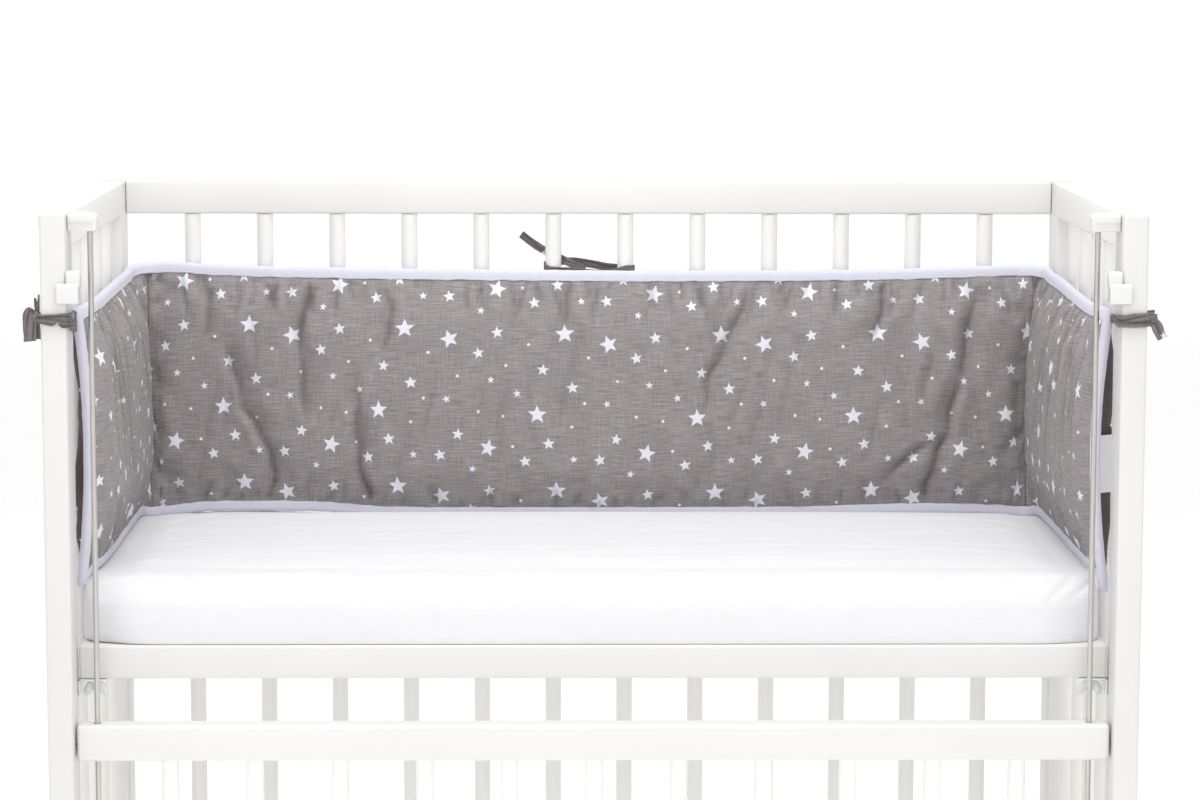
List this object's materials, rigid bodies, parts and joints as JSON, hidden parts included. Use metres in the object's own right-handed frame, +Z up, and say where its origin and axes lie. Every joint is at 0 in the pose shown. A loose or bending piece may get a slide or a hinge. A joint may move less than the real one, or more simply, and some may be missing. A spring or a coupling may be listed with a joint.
{
  "type": "quilted crib bumper on a bedside crib",
  "caption": "Quilted cloth bumper with bound edges, tied inside a bedside crib on a mattress, round the ends and the back. The crib's front gate is lowered and slides up and down.",
  "frame": {"origin": "on the floor under the middle of the crib", "axes": "+X to the right along the back of the crib, +Y from the open front to the back, +Z up"},
  "size_m": [0.9979, 0.4809, 0.86],
  "materials": {
    "painted_wood": "off-white satin paint",
    "white_plastic": "satin white",
    "steel": "zinc plated",
    "mattress_cover": "white cotton cover",
    "printed_cotton": "warm grey slub cotton printed with white stars",
    "binding_cotton": "pale lilac bias binding",
    "tie_cotton": "the same grey star cotton, folded into a narrow tie",
    "label_ribbon": "plain white woven ribbon"
  },
  "bodies": {
    "crib": {"post_front_left": "painted_wood", "post_front_right": "painted_wood", "post_back_left": "painted_wood", "post_back_right": "painted_wood", "end_rail_top_left": "painted_wood", "end_rail_top_right": "painted_wood", "back_rail_top": "painted_wood", "end_rail_bottom_left": "painted_wood", "end_rail_bottom_right": "painted_wood", "back_rail_bottom": "painted_wood", "end_spindle_left_1": "painted_wood", "end_spindle_left_2": "painted_wood", "end_spindle_left_3": "painted_wood", "end_spindle_left_4": "painted_wood", "end_spindle_right_1": "painted_wood", "end_spindle_right_2": "painted_wood", "end_spindle_right_3": "painted_wood", "end_spindle_right_4": "painted_wood", "back_spindle_01": "painted_wood", "back_spindle_02": "painted_wood", "back_spindle_03": "painted_wood", "back_spindle_04": "painted_wood", "back_spindle_05": "painted_wood", "back_spindle_06": "painted_wood", "back_spindle_07": "painted_wood", "back_spindle_08": "painted_wood", "back_spindle_09": "painted_wood", "back_spindle_10": "painted_wood", "back_spindle_11": "painted_wood", "back_spindle_12": "painted_wood", "rod_left": "steel", "rod_bracket_left": "white_plastic", "catch_left": "white_plastic", "base_bar_left": "steel", "tie_left": "tie_cotton", "rod_right": "steel", "rod_bracket_right": "white_plastic", "catch_right": "white_plastic", "base_bar_right": "steel", "tie_right": "tie_cotton", "mattress_base": "painted_wood", "mattress": "mattress_cover", "bumper_pad": "printed_cotton", "bumper_binding": "binding_cotton", "bumper_label": "label_ribbon", "tie_back": "tie_cotton"},
    "gate": {"gate_rail_top": "painted_wood", "gate_rail_bottom": "painted_wood", "gate_spindle_01": "painted_wood", "gate_spindle_02": "painted_wood", "gate_spindle_03": "painted_wood", "gate_spindle_04": "painted_wood", "gate_spindle_05": "painted_wood", "gate_spindle_06": "painted_wood", "gate_spindle_07": "painted_wood", "gate_spindle_08": "painted_wood", "gate_spindle_09": "painted_wood", "gate_spindle_10": "painted_wood", "gate_spindle_11": "painted_wood"}
  },
  "joints": [
    {"name": "gate_slide", "type": "slide", "parent": "crib", "child": "gate", "axis": [0, 0, 1], "range_m": [0, 0.437]}
  ]
}
